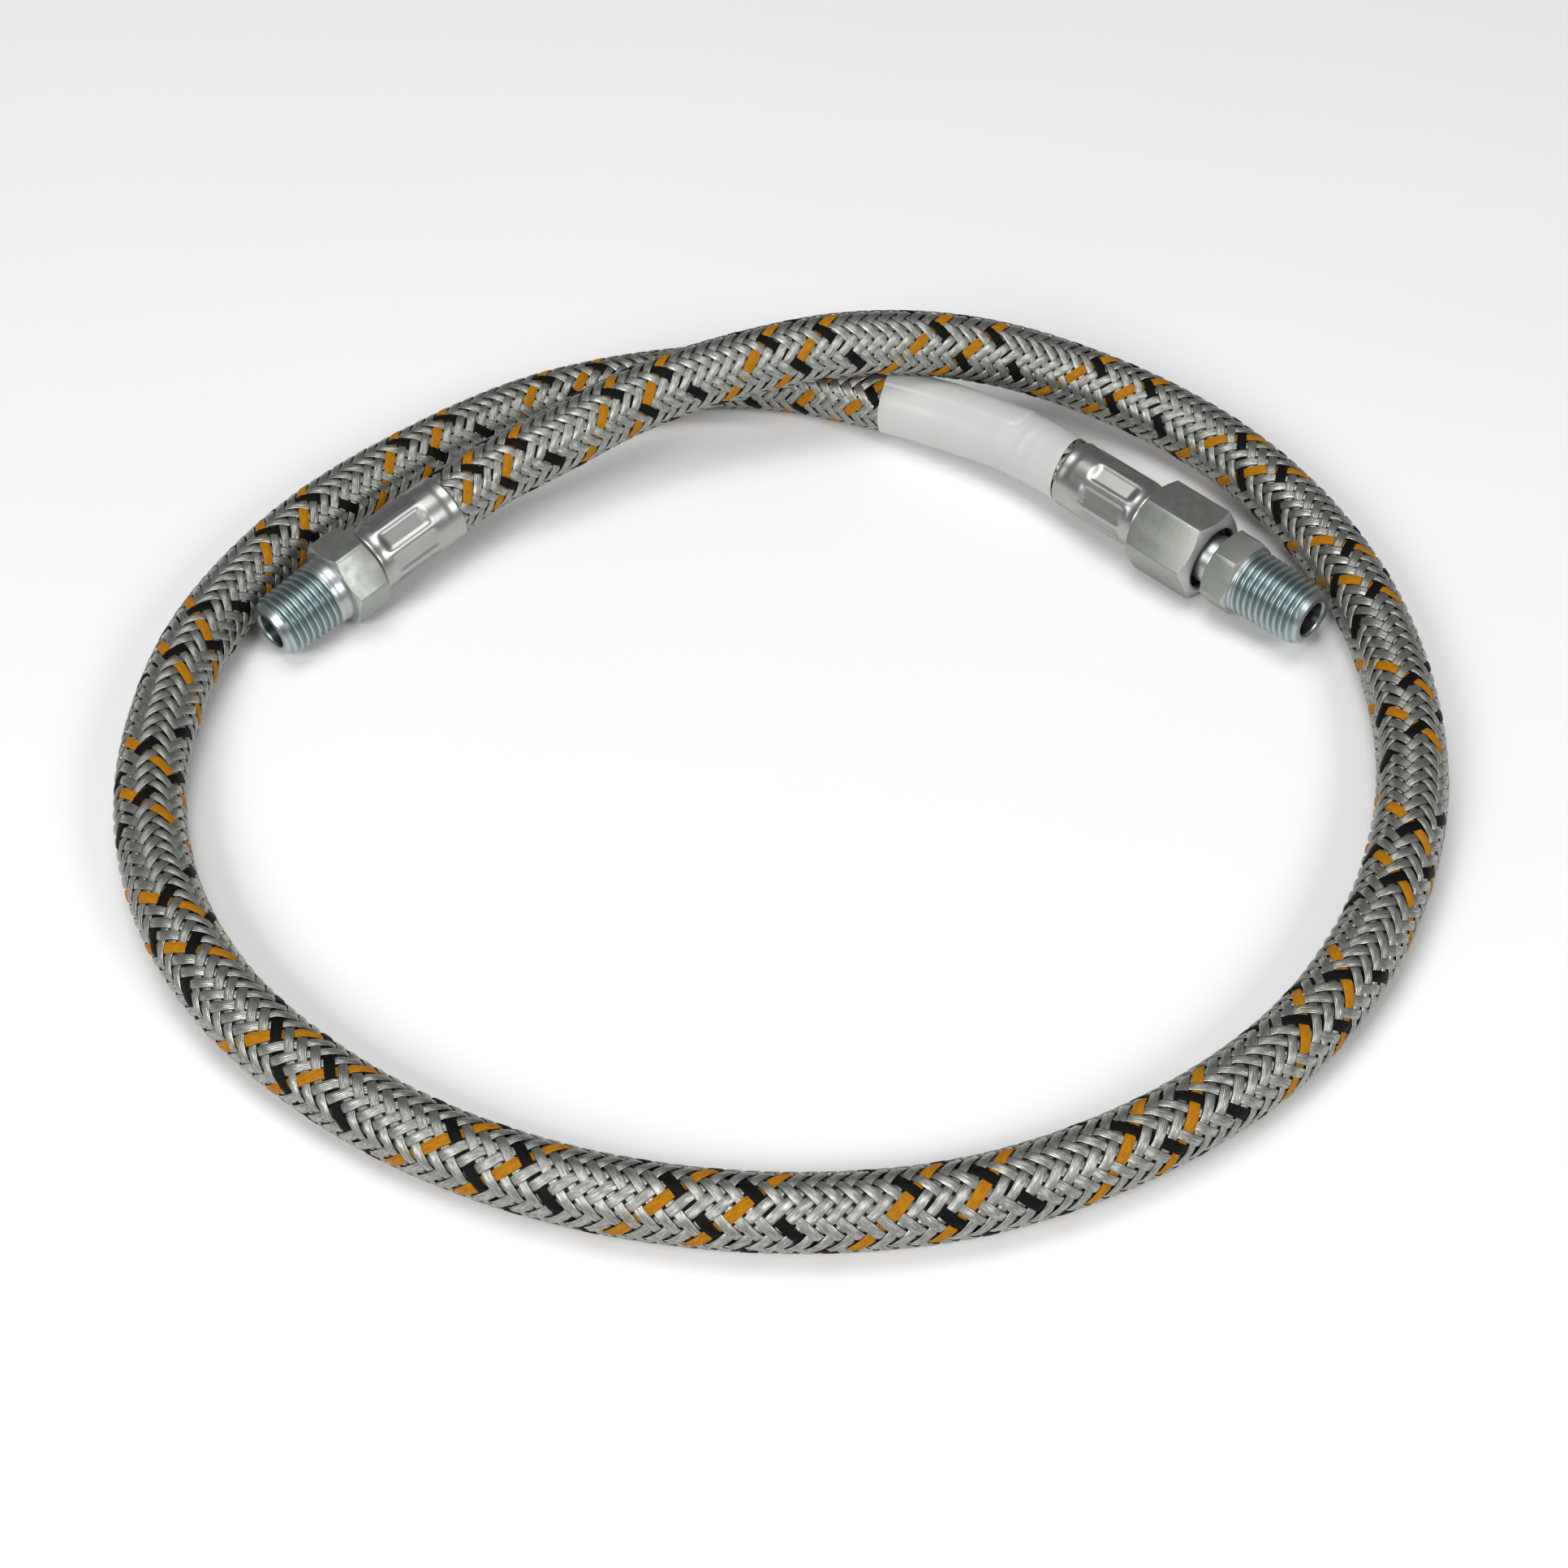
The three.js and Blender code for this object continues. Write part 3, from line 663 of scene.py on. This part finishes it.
@dataclass
class Braid:
    """Sleeve of 24 flat strands, 12 each way, each over two and under two of the others."""

    line: HoseLine
    radius: float = 6.17 * MM
    wave: float = 0.24 * MM
    thickness: float = 0.22 * MM
    crown: float = 0.06 * MM
    width: float = 1.68 * MM
    tracer_width: float = 1.92 * MM
    strands_each_way: int = 12
    floats_per_turn: int = 6
    steepness: float = 1.9
    crimped_radius: float = 5.62 * MM
    sample: float = 0.8 * MM
    turns: tuple[float, ...] = (0.732, 0.095, 11.321, 10.627)
    half_length: float = 425.0 * MM
    twist: Rows = (
        (0.05, 0.11, 0.16, 0.25, 0.68, 0.80),
        (7.0, 16.0, 3.0, -8.0, -10.0, -20.0),
    )
    orange: tuple[int, ...] = (0, 4)
    black: tuple[int, ...] = (0, 8)

    def strand(self, turn: Turn, index: int) -> Array:
        """One strand as a tube of six columns.

        Its turns round the hose are a cubic of the way from the middle, because the braid lies
        a little slacker there, and the whole braid is twisted by a few degrees along the way.
        The strand rises and falls by the wave as the cosine of six times its angle, steepened
        and held between -1 and 1, so that it passes over two strands and under the next two.
        Across, its back is a low crown.

        Args:
            turn: Which way it winds.
            index: Its number, from 0 to 11.

        Returns:
            Places in metres, shaped (rows, 6, 3).
        """
        along = np.arange(0.6 * MM, self.line.length - 0.6 * MM, self.sample)
        start = 2 * np.pi * index / self.strands_each_way
        from_middle = along / self.half_length - 1.0
        angle = start + turn.value * 2 * np.pi * np.polyval(self.turns, from_middle)
        weave = self.steepness * np.cos(self.floats_per_turn * angle - np.pi / 4)
        weave = np.clip(weave, -1.0, 1.0)
        angle = angle + np.radians(np.interp(along, *self.twist))
        weave = np.sin(weave * np.pi / 2) * turn.value
        seed = np.random.default_rng(40 * (turn.value + 2) + index)
        drift = self._drift(seed, along)
        tracer = index in (self.orange if turn is Turn.LEFT else self.black)
        width = self.tracer_width if tracer else self.width
        half = width / 2 * (1.0 + 0.05 * self._drift(seed, along))
        lip = self.line.inside
        grip = smooth_step(lip * 0.5, lip * 1.35, along) * smooth_step(
            lip * 0.5, lip * 1.35, self.line.length - along
        )
        middle = self.crimped_radius + (self.radius - self.crimped_radius) * grip
        middle = middle + self.wave * weave * (0.35 + 0.65 * grip) + 0.02 * MM * drift
        across = np.array([-1.0, -0.62, -0.21, 0.21, 0.62, 1.0])
        rise = self.crown * (1.0 - across**2)
        per_metre = np.polyval(np.polyder(self.turns), from_middle) / self.half_length
        slant = np.arctan(2 * np.pi * self.radius * per_metre)[:, None]
        offset = across[None, :] * half[:, None] + 0.05 * MM * drift[:, None]
        grid_along = along[:, None] - turn.value * offset * np.sin(slant)
        grid_angle = angle[:, None] + offset * np.cos(slant) / self.radius
        top = middle[:, None] + rise[None, :] + 0.5 * self.thickness * (np.abs(across) < 0.9)
        grid_along = np.clip(grid_along, 0.0, self.line.length)
        return self.line.around(grid_along, grid_angle, top)

    @staticmethod
    def _drift(seed: np.random.Generator, along: Array) -> Array:
        """A slow wander between about -1 and 1: the mean of four sine waves of random phase."""
        waves = seed.uniform(0.004, 0.03, 4)[:, None]
        phase = seed.uniform(0.0, 2 * np.pi, 4)[:, None]
        return np.sin(2 * np.pi * along[None, :] / waves + phase).mean(axis=0) * 1.6

    def _piece(
        self, name: str, strands: list[tuple[Turn, int]], finish: StrandFinish
    ) -> Piece:
        """Gather some of the strands into one piece."""
        surface = Surface()
        for turn, index in strands:
            grid = self.strand(turn, index)
            surface.add_grid(grid, np.arange(len(grid)) * self.sample / (2 * MM) + 7.3 * index)
        return surface.build(name, finish.make(), sharp=70.0)

    def build(self) -> list[Piece]:
        """Make the silver strands of each way, and the orange and black ones among them."""
        every = range(self.strands_each_way)
        rising = [(Turn.RIGHT, i) for i in every if i not in self.black]
        falling = [(Turn.LEFT, i) for i in every if i not in self.orange]
        return [
            self._piece("braid_silver_right", rising, SILVER_STRAND),
            self._piece("braid_silver_left", falling, SILVER_STRAND),
            self._piece("braid_orange", [(Turn.LEFT, i) for i in self.orange], ORANGE_STRAND),
            self._piece("braid_black", [(Turn.RIGHT, i) for i in self.black], BLACK_STRAND),
        ]


@dataclass
class Label:
    """Bare film wrapped round the hose beside the swivel end, its last turn lapping over."""

    line: HoseLine
    length: float = 43.4 * MM
    radius: float = 6.62 * MM
    film: float = 0.12 * MM
    end_gap: float = 0.25 * MM
    skew: float = 1.9 * MM
    lap_short: float = 13.0 * MM
    lap_top: float = -2.1
    lap_bottom: float = 0.35
    pleats: Rows = (
        (10.2, 0.9, 0.11, 0.9), (7.0, 0.4, 0.07, 1.2), (16.5, -1.0, 0.06, 1.4),
    )
    rows: int = 150
    columns: int = 240

    def build(self) -> Piece:
        """Make the film: an outer skin over the hose and an inner one back, closed into a ring.

        The film ends askew, by a squared cosine of the angle. The lap stands up inside a
        rectangle with rounded corners, and a few soft pleats run across the rest.
        """
        angle = np.linspace(-np.pi, np.pi, self.columns, endpoint=False)[None, :]
        share = np.linspace(0.0, 1.0, self.rows)[:, None]
        lip = self.line.length - self.line.inside
        end = lip - self.end_gap - self.skew * (0.5 + 0.5 * np.cos(angle + 0.9)) ** 2
        start = lip - self.end_gap - self.length + 0.3 * MM * np.sin(angle)
        along = start + (end - start) * share
        from_end = lip - along
        height = self._lap(from_end, angle) + self._pleats(from_end, angle)
        outer = self.radius + self.film + height
        hem = 0.06 * MM * (smooth_step(0.03, 0.0, share) + smooth_step(0.97, 1.0, share))
        outer = outer - hem
        inner = np.full_like(outer, self.radius - 0.1 * MM)
        radius = np.concatenate([outer, inner[::-1]])
        along = np.concatenate([along, along[::-1]])
        surface = Surface()
        grid = self.line.around(along, np.broadcast_to(angle, along.shape), radius)
        surface.add_grid(grid, np.linspace(0.0, 1.0, len(along) + 1), wrap_rows=True)
        return surface.build("label_film", SHADED_LABEL_FILM.make(), sharp=50.0)

    def _lap(self, from_end: Array, angle: Array) -> Array:
        """Height of the lap: two films inside a rounded rectangle, by its signed distance."""
        across = (angle - (self.lap_top + self.lap_bottom) / 2) * self.radius
        half_across = (self.lap_bottom - self.lap_top) / 2 * self.radius
        corner = 2.2 * MM
        x = np.maximum(self.lap_short + corner - from_end, 0.0)
        y = np.maximum(np.abs(across) - half_across + corner, 0.0)
        outside = np.sqrt(x**2 + y**2) - corner
        crease = 0.5 * self.film * np.exp(-(((outside - 0.45 * MM) / (0.3 * MM)) ** 2))
        return 2.2 * self.film * smooth_step(0.06 * MM, -0.10 * MM, outside) - crease

    def _pleats(self, from_end: Array, angle: Array) -> Array:
        """Soft creases: low ridges that lean across the film, and a slow uneven swell."""
        height = 0.05 * MM * np.sin(from_end / (3.1 * MM) + 1.3 * np.sin(2 * angle))
        for place, lean, tall, wide in self.pleats:
            ridge = from_end - (place + lean * (angle - 0.5)) * MM
            reach = smooth_step(1.1, 0.1, np.abs(angle - 0.7))
            height = height + tall * MM * reach * np.exp(-((ridge / (wide * MM)) ** 2))
        return height


# The fittings


@dataclass
class Ferrule:
    """Crimped sleeve with a rolled lip and eight pockets pressed into it."""

    end: HoseEnd
    name: str
    roll: float
    length: float = 20.2 * MM
    radius: float = 6.88 * MM
    pocket_plane: float = 6.38 * MM
    pocket_start: float = 6.0 * MM
    pocket_end: float = 18.0 * MM
    pocket_half: float = 15.5
    pockets: int = 8
    inside: Rows = (
        (4.8, 20.2), (4.6, 20.0), (4.6, 19.0), (6.1, 18.9), (6.1, 1.6), (6.42, 0.15),
    )
    columns: int = 240

    def _outside(self, along: Array, angle: Array) -> Array:
        """Radius of the outside.

        The plain sleeve is the radius with a low belly, rounded at both ends. Inside a pocket
        it gives way to a flat plane, whose radius is the plane's distance over the cosine of
        the angle from the pocket's middle.
        """
        pitch = 2 * np.pi / self.pockets
        turned = np.mod(angle - math.radians(self.roll) + pitch / 2, pitch) - pitch / 2
        plain = self.radius - 0.10 * MM * smooth_step(1.4 * MM, 0.0, np.abs(along - 1.9 * MM))
        plain = plain - 0.16 * MM * smooth_step(1.7 * MM, 0.0, np.abs(along - 18.4 * MM))
        lip = np.sqrt(np.clip(1.0 - (1.0 - np.clip(along / (0.45 * MM), 0.0, 1.0)) ** 2, 0.0, 1.0))
        nose = np.clip((self.length - along) / (0.9 * MM), 0.0, 1.0)
        nose = np.sqrt(np.clip(1.0 - (1.0 - nose) ** 2, 0.0, 1.0))
        plain = plain - 0.4 * MM * (1.0 - lip) - 0.7 * MM * (1.0 - nose)
        half = math.radians(self.pocket_half)
        pressed = smooth_step(half + 0.09, half - 0.07, np.abs(turned))
        pressed = pressed * smooth_step(self.pocket_start, self.pocket_start + 1.9 * MM, along)
        pressed = pressed * smooth_step(self.pocket_end, self.pocket_end - 2.1 * MM, along)
        ridge = 0.05 * MM * smooth_step(half, pitch / 2, np.abs(turned))
        ridge = ridge * smooth_step(3.0 * MM, 7.0 * MM, along)
        ridge = ridge * smooth_step(19.0 * MM, 16.0 * MM, along)
        return plain + ridge + (self.pocket_plane / np.cos(turned) - plain) * pressed

    def build(self) -> Piece:
        """Make the sleeve: the outside rows, the end wall, and the inside rows back to the lip."""
        angles = np.linspace(0.0, 2 * np.pi, self.columns, endpoint=False)
        share = np.linspace(0.0, 1.0, 96)
        along = self.length * (share - 0.35 * np.sin(2 * np.pi * share) / (2 * np.pi))
        outer = self._outside(along[:, None], angles[None, :])
        rows = [np.stack([outer, np.broadcast_to(along[:, None], outer.shape)], axis=-1)]
        for radius, height in self.inside:
            row = np.broadcast_to(np.array([radius * MM, height * MM]), (1, self.columns, 2))
            rows.append(row)
        profile = np.concatenate(rows)
        surface = Surface()
        row_uv = np.linspace(0.0, 1.0, len(profile) + 1)
        surface.add_grid(self.end.revolve(profile, angles), row_uv, wrap_rows=True)
        return surface.build(self.name, FERRULE_ZINC.make(), sharp=50.0)


@dataclass
class HexBar:
    """Hexagonal bar with turned chamfers, bored through."""

    end: HoseEnd
    name: str
    flats: float
    start: float
    length: float
    roll: float
    start_radius: float
    end_radius: float
    bore: Rows
    corner_cut: float = 0.14 * MM
    edge: float = 0.12 * MM

    def angles(self) -> Array:
        """Angles of the columns: close together at each of the six corners."""
        middle = np.linspace(-26.5, 26.5, 14)
        flat = np.concatenate([[-30.0, -29.5, -29.0, -28.2], middle, [28.2, 29.0, 29.5]])
        turns = np.arange(HEX_SIDES)[:, None] * 60.0
        return np.radians((turns + flat[None, :] + 30.0 + self.roll).ravel())

    def build(self) -> Piece:
        """Make the bar.

        At an angle from the middle of a flat, the hexagon's radius is half the flats over the
        cosine, cut a little at the corners. Each chamfer drops from its face radius by the
        tangent of 30 degrees. Softened corners are three rows each, so the rows from the last
        of the far chamfer's edge on are turned, and those from the second bore corner on are
        deep in the bore, where the colour is painted dark as shade.
        """
        angles = self.angles()
        turned = np.mod(angles - math.radians(self.roll), math.pi / 3) - math.pi / 6
        corner = self.flats / 2 / math.cos(math.pi / HEX_SIDES)
        radius = np.minimum(self.flats / 2 / np.cos(turned), corner - self.corner_cut)
        slope = math.tan(math.radians(30.0))
        finish = self.start + self.length
        rows = [
            (np.full_like(radius, self.start_radius), np.full_like(radius, self.start)),
            (radius, self.start + np.maximum(radius - self.start_radius, 0.0) * slope),
            (radius, finish - np.maximum(radius - self.end_radius, 0.0) * slope),
            (np.full_like(radius, self.end_radius), np.full_like(radius, finish)),
        ]
        outer = np.stack([np.stack(row, axis=-1) for row in rows])
        bore = np.array(self.bore)[:, None, :] * np.ones((1, len(angles), 1))
        profile = softened(np.concatenate([outer, bore]), self.edge)
        surface = Surface()
        row_uv = np.linspace(0.0, 1.0, len(profile) + 1)
        row = np.arange(len(profile))
        # Rows deep in the bore are marked 2, for painted shade.
        face_row, shaded_bore_row = 3 * len(outer) - 4, 3 * len(outer) + 6
        turned_and_bore_shade_rows = (row >= face_row) * 1.0 + (row >= shaded_bore_row) * 1.0
        mark = turned_and_bore_shade_rows[:, None] * np.ones(profile.shape[:2])
        surface.add_grid(self.end.revolve(profile, angles), row_uv, wrap_rows=True, mark=mark)
        return surface.build(self.name, HEX_ZINC.make(), sharp=24.0)


@dataclass
class PipeThread:
    """Male taper pipe thread with what is turned in one piece with it, bored through."""

    end: HoseEnd
    name: str
    before: Rows
    start: float
    length: float
    bore_start: float
    pitch: float = 25.4 * MM / 18
    radius: float = 6.65 * MM
    depth: float = 0.82 * MM
    taper: float = 1 / 32
    chamfer: float = 1.5 * MM
    face_radius: float = 5.1 * MM
    bore_radius: float = 3.35 * MM
    rows_per_turn: int = 14
    columns: int = 112

    def _threaded(self) -> tuple[Array, Array, Array]:
        """Rows of the thread, which climb by one pitch in each turn.

        The height of a vertex is its row's plus the share of a turn it has gone. The groove is
        a cosine of its place in the pitch, sharpened into a flank, and it fades out at the
        collar. The taper takes 1 in 32 from the radius, and the tip is cut by a cone.

        Returns:
            The rows as (radius, height), how near each vertex is to the root, and the rows' UVs.
        """
        end = self.start + self.length
        row_count = math.ceil((self.length / self.pitch + 1) * self.rows_per_turn) + 1
        row = np.arange(row_count)[:, None]
        column = np.arange(self.columns)[None, :]
        height = self.start + self.pitch * (row / self.rows_per_turn + column / self.columns - 1.0)
        height = np.clip(height, self.start, end)
        phase = np.broadcast_to(row / self.rows_per_turn, height.shape)
        flank = np.abs(np.mod(phase, 1.0) - 0.5) * 2.0
        straight = np.clip((flank - 0.1) / 0.82, 0.0, 1.0)
        groove = smooth_step(0.10, 0.92, flank) * 0.55 + straight * 0.45
        fade = smooth_step(self.start, self.start + 0.9 * self.pitch, height)
        crest = self.radius - (height - self.start) * self.taper
        radius = crest - self.depth * groove * fade
        drop = crest - self.face_radius - self.depth * 0.3
        cone = self.face_radius + (end - height) * drop / self.chamfer
        cut = np.clip((radius - cone) / (0.3 * self.depth), 0.0, 1.0)
        radius = np.minimum(radius, cone)
        rows = np.stack([radius, height], axis=-1)
        return rows, groove * fade * (1.0 - cut), row[:, 0] / self.rows_per_turn

    def build(self) -> Piece:
        """Make the piece: what comes before the thread, the thread, the mouth and the bore."""
        angles = np.linspace(0.0, 2 * np.pi, self.columns, endpoint=False)
        threaded, root, row_uv = self._threaded()
        end = self.start + self.length
        bore = (
            (self.face_radius - 0.12 * MM, end),
            (self.bore_radius + 0.45 * MM, end),
            (self.bore_radius + 0.30 * MM, end - 0.12 * MM),
            (self.bore_radius, end - 0.5 * MM),
            (self.bore_radius, self.bore_start),
        )
        before = np.array(self.before)[:, None, :] * np.ones((1, self.columns, 1))
        before = softened(before, 0.18 * MM)
        plain = np.concatenate([np.array(bore)[:, None, :] * np.ones((1, self.columns, 1)), before])
        surface = Surface()
        profile = np.concatenate([threaded, plain])
        # Bore rows are marked 2, for painted shade deep in the bore.
        bore_shade_mark = (plain[..., 0] < 1.02 * self.bore_radius) * 2.0
        mark = np.concatenate([root, bore_shade_mark])
        row_uv = np.concatenate([row_uv, row_uv[-1] + 0.2 * np.arange(1, len(plain) + 2)])
        points = self.end.revolve(profile, angles)
        seam = np.arange(len(profile))
        turn_on = seam[: len(threaded)] + self.rows_per_turn
        seam[: len(threaded)] = np.minimum(turn_on, len(threaded) - 1)
        surface.add_grid(points, row_uv, wrap_rows=True, seam=seam, mark=mark)
        return surface.build(self.name, TURNED_ZINC.make(), sharp=60.0, weld=True)


# Sizes along the fittings, from the ferrule's lip outwards
HEX_START = 20.5 * MM
TAIL = ((2.5, 20.0), (2.5, 1.4), (3.6, 1.4), (3.6, 19.0), (4.3, 19.0))


def in_metres(rows: Rows) -> Rows:
    """Profile rows given in millimetres, in metres."""
    return tuple((radius * MM, height * MM) for radius, height in rows)


@dataclass
class FixedFitting:
    """Fixed end: ferrule, hex, short collar and pipe thread."""

    end: HoseEnd
    hex_flats: float = 15.9 * MM
    hex_length: float = 7.8 * MM
    hex_roll: float = 41.0
    collar_length: float = 2.3 * MM
    thread_length: float = 13.0 * MM
    panel_roll: float = 14.0

    def build(self) -> list[Piece]:
        """Make the three pieces, which stand for the ferrule and the stem."""
        hex_end = HEX_START + self.hex_length
        thread_start = hex_end + self.collar_length
        face = self.hex_flats / 2 * 0.985
        ferrule = Ferrule(self.end, "fixed_end_ferrule", self.panel_roll).build()
        nut = HexBar(
            self.end, "fixed_end_hex", self.hex_flats, HEX_START, self.hex_length, self.hex_roll,
            face, face, bore=((4.2 * MM, hex_end), (4.2 * MM, HEX_START)),
        ).build()
        collar = ((4.3, 20.8), (6.3, 20.8), (6.66, 28.0), (6.68, 28.9), (6.66, 30.1))
        thread = PipeThread(
            self.end, "fixed_end_thread", in_metres(TAIL + collar), thread_start,
            self.thread_length, bore_start=20.5 * MM,
        ).build()
        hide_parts("fixed_ferrule")
        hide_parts("fixed_stem")
        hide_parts("fixed_stem")
        return [ferrule, nut, thread]


@dataclass
class SwivelFitting:
    """Swivel end: ferrule and long hex body on the hose, and the nipple that turns in it."""

    end: HoseEnd
    body_flats: float = 16.8 * MM
    body_length: float = 15.0 * MM
    body_roll: float = 24.0
    nose_radius: float = 7.15 * MM
    nipple_flats: float = 14.2 * MM
    nipple_showing: float = 2.6 * MM
    nipple_hex_length: float = 6.0 * MM
    nipple_roll: float = 35.0
    thread_length: float = 15.5 * MM
    panel_roll: float = 20.0

    def body(self) -> list[Piece]:
        """Make the ferrule and the long hex with its counterbore."""
        bore = in_metres((
            (6.78, 35.5), (6.55, 35.25), (6.5, 33.7), (5.4, 33.7),
            (5.4, 32.3), (6.4, 32.3), (6.4, 29.5), (2.5, 29.5),
        ) + TAIL[1:] + ((4.3, 20.5),))
        ferrule = Ferrule(self.end, "swivel_end_ferrule", self.panel_roll).build()
        body = HexBar(
            self.end, "swivel_long_hex", self.body_flats, HEX_START, self.body_length,
            self.body_roll, self.body_flats / 2 * 0.985, self.nose_radius, bore,
        ).build()
        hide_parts("swivel_ferrule")
        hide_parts("swivel_body")
        return [ferrule, body]

    def nipple(self) -> list[Piece]:
        """Make the nipple's small hex, and its turned neck and thread."""
        hex_start = HEX_START + self.body_length + self.nipple_showing
        hex_end = hex_start + self.nipple_hex_length
        face = self.nipple_flats / 2 * 0.985
        nut = HexBar(
            self.end, "nipple_hex", self.nipple_flats, hex_start, self.nipple_hex_length,
            self.nipple_roll, face, face, bore=((4.6 * MM, hex_end), (4.6 * MM, hex_start)),
        ).build()
        before = in_metres((
            (6.1, 29.8), (6.1, 32.0), (5.1, 32.0), (5.1, 37.3),
            (4.85, 37.5), (4.85, 38.6), (6.2, 40.0), (6.4, 43.6),
        ))
        thread = PipeThread(
            self.end, "nipple_thread", before, hex_end, self.thread_length, bore_start=29.8 * MM
        ).build()
        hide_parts("swivel_nipple")
        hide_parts("swivel_nipple")
        return [nut, thread]


# The studio


@dataclass(frozen=True)
class SoftLight:
    """A large square lamp that looks at the middle of the loop."""

    name: str
    place: Triple
    size: float
    power: float

    def build(self) -> None:
        """Hang the lamp, turned to the loop."""
        data = bpy.data.lights.new(self.name, "AREA")
        data.shape, data.size, data.energy = "SQUARE", self.size, self.power
        lamp = bpy.data.objects.new(self.name, data)
        lamp.location = self.place
        lamp.rotation_euler = (-Vector(self.place)).to_track_quat("-Z", "Y").to_euler()
        bpy.context.scene.collection.objects.link(lamp)


@dataclass
class Studio:
    """Pale floor, soft lamps and the camera."""

    camera_place: Triple = (0.0, -0.36585, 0.40127)
    elevation: float = 48.0
    lens: float = 67.08
    floor_size: float = 6.0
    floor_level: float = -0.0002
    lamps: tuple[SoftLight, ...] = (
        SoftLight("front_left", (-0.55, -0.75, 0.75), 0.45, 8.0),
        SoftLight("front_right", (0.65, -0.60, 0.70), 0.35, 4.5),
        SoftLight("overhead", (-0.10, 0.05, 1.1), 0.60, 5.0),
    )

    def camera(self) -> None:
        """Stand the camera where the photograph was taken from."""
        data = bpy.data.cameras.new("camera")
        data.lens, data.sensor_width = self.lens, 36.0
        data.clip_start, data.clip_end = 0.01, 50.0
        camera = bpy.data.objects.new("camera", data)
        camera.location = self.camera_place
        camera.rotation_euler = (math.radians(90.0 - self.elevation), 0.0, 0.0)
        bpy.context.scene.collection.objects.link(camera)
        bpy.context.scene.camera = camera

    def floor(self) -> None:
        """Lay the floor just under the hose."""
        half, level = self.floor_size / 2, self.floor_level
        mesh = bpy.data.meshes.new("floor")
        corners = [(-half, -half), (half, -half), (half, half), (-half, half)]
        mesh.from_pydata([(*corner, level) for corner in corners], [], [(0, 1, 2, 3)])
        mesh.materials.append(PALE_FLOOR.make())
        floor = bpy.data.objects.new("floor", mesh)
        bpy.context.scene.collection.objects.link(floor)

    def light(self) -> None:
        """Light the room evenly, and hang the lamps."""
        world = bpy.data.worlds.new("room")
        world.use_nodes = True
        background = world.node_tree.nodes["Background"]
        background.inputs["Color"].default_value = (0.95, 0.96, 1.0, 1.0)
        background.inputs["Strength"].default_value = 0.20
        bpy.context.scene.world = world
        bpy.context.scene.view_settings.view_transform = "Standard"
        for lamp in self.lamps:
            lamp.build()


def main() -> None:
    """Build the studio, the hose and its two fittings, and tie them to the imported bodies."""
    logging.basicConfig(level=logging.INFO, format="%(name)s %(message)s")
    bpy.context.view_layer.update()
    studio = Studio()
    studio.camera()
    line = HoseLine(FIXED_END, SWIVEL_END, ROUTE)
    LOG.info("hose line: %.1f mm", line.length / MM)
    core = Core(line).build()
    braid = Braid(line).build()
    label = Label(line).build()
    fixed = FixedFitting(FIXED_END).build()
    swivel = SwivelFitting(SWIVEL_END)
    body, nipple = swivel.body(), swivel.nipple()
    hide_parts("rubber_tube")
    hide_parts("label_wrap")
    for piece in braid:
        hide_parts("wire_braid")
    for piece in (core, label, *braid, *fixed, *body):
        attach(piece, "hose")
    for piece in nipple:
        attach(piece, "nipple")
    slots = {
        "rubber": [core],
        "film": [label],
        "braid_wire": braid,
        "ferrule_steel": [fixed[0], body[0]],
        "zinc_steel": [*fixed[1:], body[1], *nipple],
    }
    for slot, pieces in slots.items():
        for piece in pieces:
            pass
    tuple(FIXED_END.exit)
    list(braid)
    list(body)
    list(nipple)
    studio.floor()
    studio.light()


if __name__ == "__main__":
    main()
